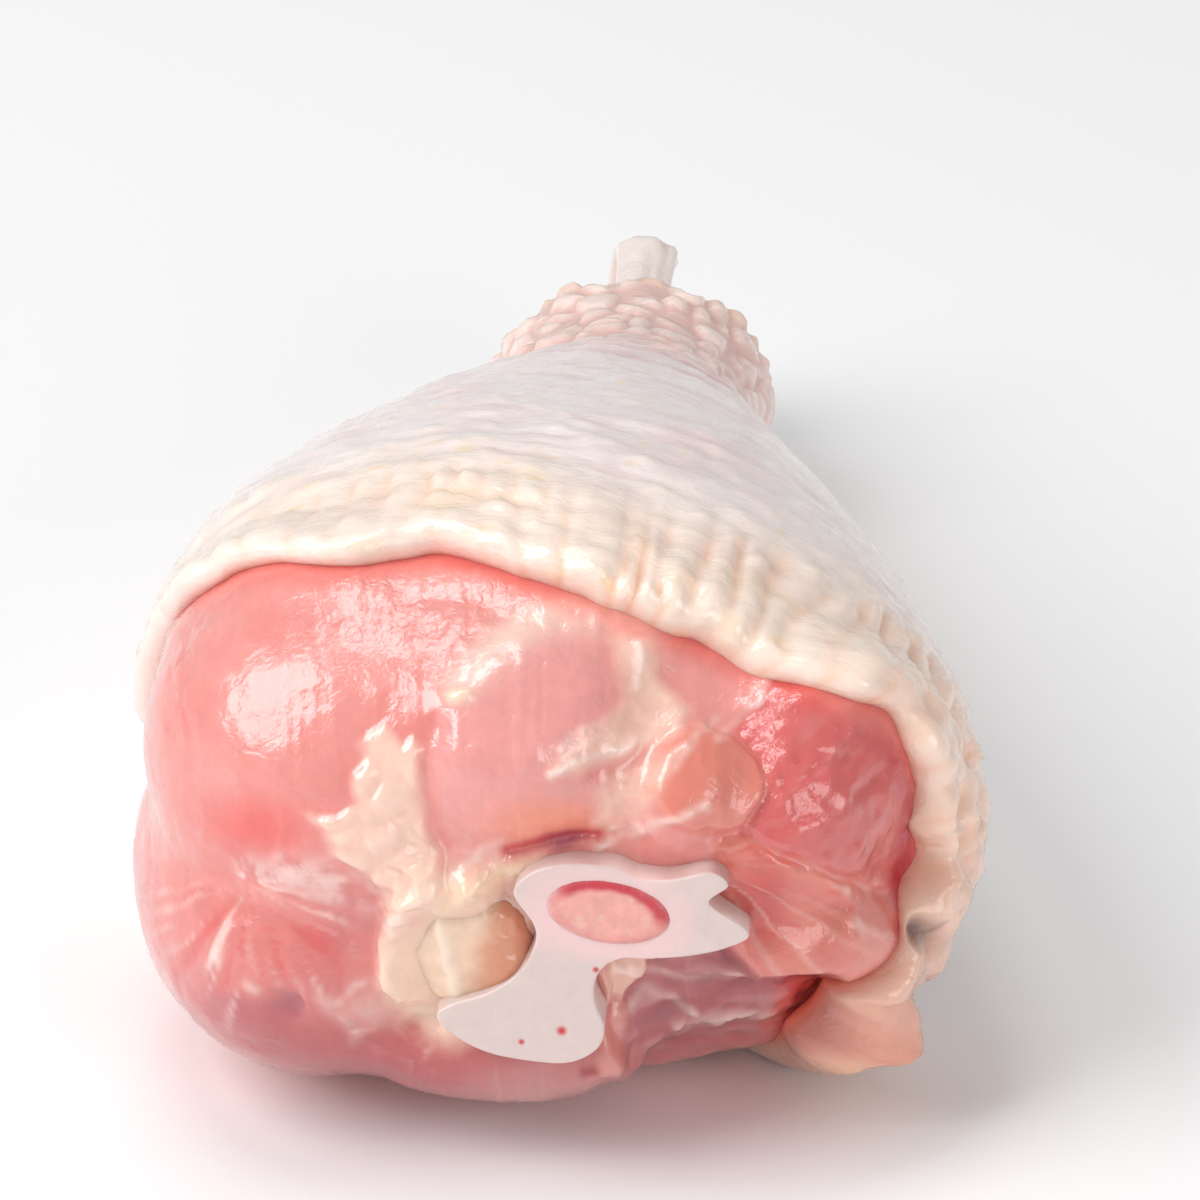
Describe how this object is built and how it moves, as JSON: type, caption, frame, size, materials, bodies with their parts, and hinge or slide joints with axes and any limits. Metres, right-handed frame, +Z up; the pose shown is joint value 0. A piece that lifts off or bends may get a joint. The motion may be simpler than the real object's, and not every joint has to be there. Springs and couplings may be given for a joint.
{
  "type": "raw chicken drumstick",
  "caption": "Raw chicken drumstick on its side: knee end cut through meat and bone, skin sleeve with a rolled fatty edge, bare ankle end with bone knuckles and cut tendons.",
  "frame": {"origin": "centre of the bounding box's bottom, on the surface the drumstick lies on", "axes": "+Y along the leg towards the ankle, the cut knee end faces -Y; +Z up; +X to the right seen from the knee end"},
  "size_m": [0.069, 0.1238, 0.0485],
  "materials": {
    "meat": "moist raw meat, soft shine",
    "skin": "moist pale skin with small bumps",
    "bone": "wet white gristle and bone",
    "marrow": "moist, spongy",
    "gristle": "moist, smooth",
    "tendon": "moist, stringy"
  },
  "bodies": {
    "root": {"meat": "meat", "skin": "skin", "tibia": "bone", "marrow": "marrow", "fibula_head": "gristle", "achilles_tendon": "tendon", "extensor_tendon": "tendon"}
  },
  "joints": []
}
